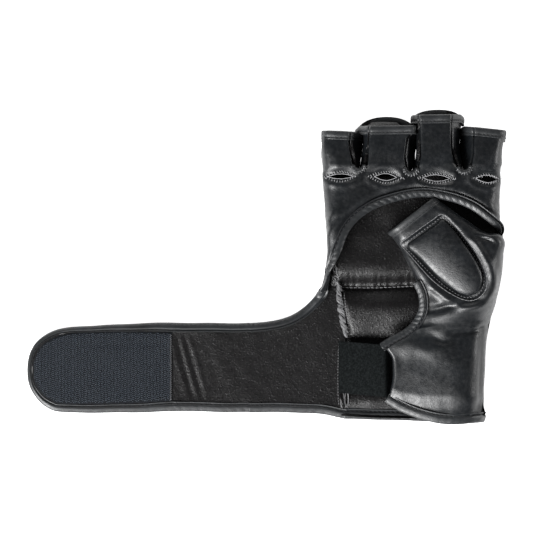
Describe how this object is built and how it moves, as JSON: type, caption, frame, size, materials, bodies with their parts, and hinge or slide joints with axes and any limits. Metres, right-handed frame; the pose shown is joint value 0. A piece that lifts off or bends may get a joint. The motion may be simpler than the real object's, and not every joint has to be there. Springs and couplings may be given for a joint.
{
  "type": "mma glove",
  "caption": "Right-hand open-finger grappling glove, palm up, with a padded back, a short thumb sleeve and a wrap-round wrist strap with hook-and-loop closure.",
  "frame": {"origin": "on the resting plane under the middle of the palm, on the back leather's outer face", "axes": "+X to the thumb side, +Y to the fingertips, +Z out of the palm"},
  "size_m": [0.3154, 0.2053, 0.0355],
  "materials": {
    "leather": "black smooth-grain synthetic leather, satin with soft highlights",
    "binding_leather": "thin black synthetic leather, puckered where it turns round an edge",
    "lining_cloth": "black knitted lining with a slight satin sparkle",
    "foam": "soft closed-cell foam, not seen",
    "hook_tape": "dark blue-grey hook tape",
    "loop_tape": "black loop tape with a soft pile",
    "elastic": "matt black woven elastic",
    "seam_thread": "black sewing thread"
  },
  "bodies": {
    "hand": {"back_leather": "leather", "loop_patch": "loop_tape", "knuckle_foam": "foam", "back_hand_foam": "foam", "wrist_foam": "foam", "hand_lining": "lining_cloth", "strap_root_lining": "lining_cloth", "strap_seam": "seam_thread", "palm_leather": "leather", "palm_binding": "binding_leather", "thumb_side_leather": "leather", "thumb_side_binding": "binding_leather", "wrist_binding": "binding_leather", "back_wrist_binding": "binding_leather", "wrist_elastic": "elastic", "thumb_pad_base": "leather", "web_little_ring": "leather", "web_ring_middle": "leather", "web_middle_index": "leather"},
    "little_finger": {"little_leather": "leather", "little_foam": "foam", "little_lining": "lining_cloth", "little_loop": "leather", "little_binding": "binding_leather"},
    "ring_finger": {"ring_leather": "leather", "ring_foam": "foam", "ring_lining": "lining_cloth", "ring_loop": "leather", "ring_binding": "binding_leather"},
    "middle_finger": {"middle_leather": "leather", "middle_foam": "foam", "middle_lining": "lining_cloth", "middle_loop": "leather", "middle_binding": "binding_leather"},
    "index_finger": {"index_leather": "leather", "index_foam": "foam", "index_lining": "lining_cloth", "index_loop": "leather", "index_binding": "binding_leather"},
    "thumb": {"thumb_sleeve": "leather", "thumb_binding": "binding_leather", "thumb_pad_tip": "leather"},
    "strap": {"strap_leather": "leather", "strap_lining": "lining_cloth", "strap_binding_upper": "binding_leather", "strap_binding_lower": "binding_leather"},
    "strap_end": {"strap_end_leather": "leather", "strap_end_lining": "lining_cloth", "strap_end_binding": "binding_leather", "hook_patch": "hook_tape"}
  },
  "joints": [
    {"name": "little_flex", "type": "hinge", "parent": "hand", "child": "little_finger", "pos_m": [-0.0475, 0.069, 0.028], "axis": [1, 0, 0], "range_deg": [0, 60]},
    {"name": "ring_flex", "type": "hinge", "parent": "hand", "child": "ring_finger", "pos_m": [-0.0175, 0.069, 0.028], "axis": [1, 0, 0], "range_deg": [0, 60]},
    {"name": "middle_flex", "type": "hinge", "parent": "hand", "child": "middle_finger", "pos_m": [0.0165, 0.069, 0.028], "axis": [1, 0, 0], "range_deg": [0, 60]},
    {"name": "index_flex", "type": "hinge", "parent": "hand", "child": "index_finger", "pos_m": [0.047, 0.069, 0.028], "axis": [1, 0, 0], "range_deg": [0, 60]},
    {"name": "thumb_flex", "type": "hinge", "parent": "hand", "child": "thumb", "pos_m": [0.0298, 0.0099, 0.03], "axis": [0.7923, 0.6101, 0], "range_deg": [0, 40]},
    {"name": "strap_fold", "type": "hinge", "parent": "hand", "child": "strap", "pos_m": [-0.058, -0.0624, 0.0142], "axis": [0, 1, 0], "range_deg": [0, 180]},
    {"name": "strap_wrap", "type": "hinge", "parent": "strap", "child": "strap_end", "pos_m": [-0.1565, -0.0624, 0.0172], "axis": [0, 1, 0], "range_deg": [0, 180]}
  ]
}
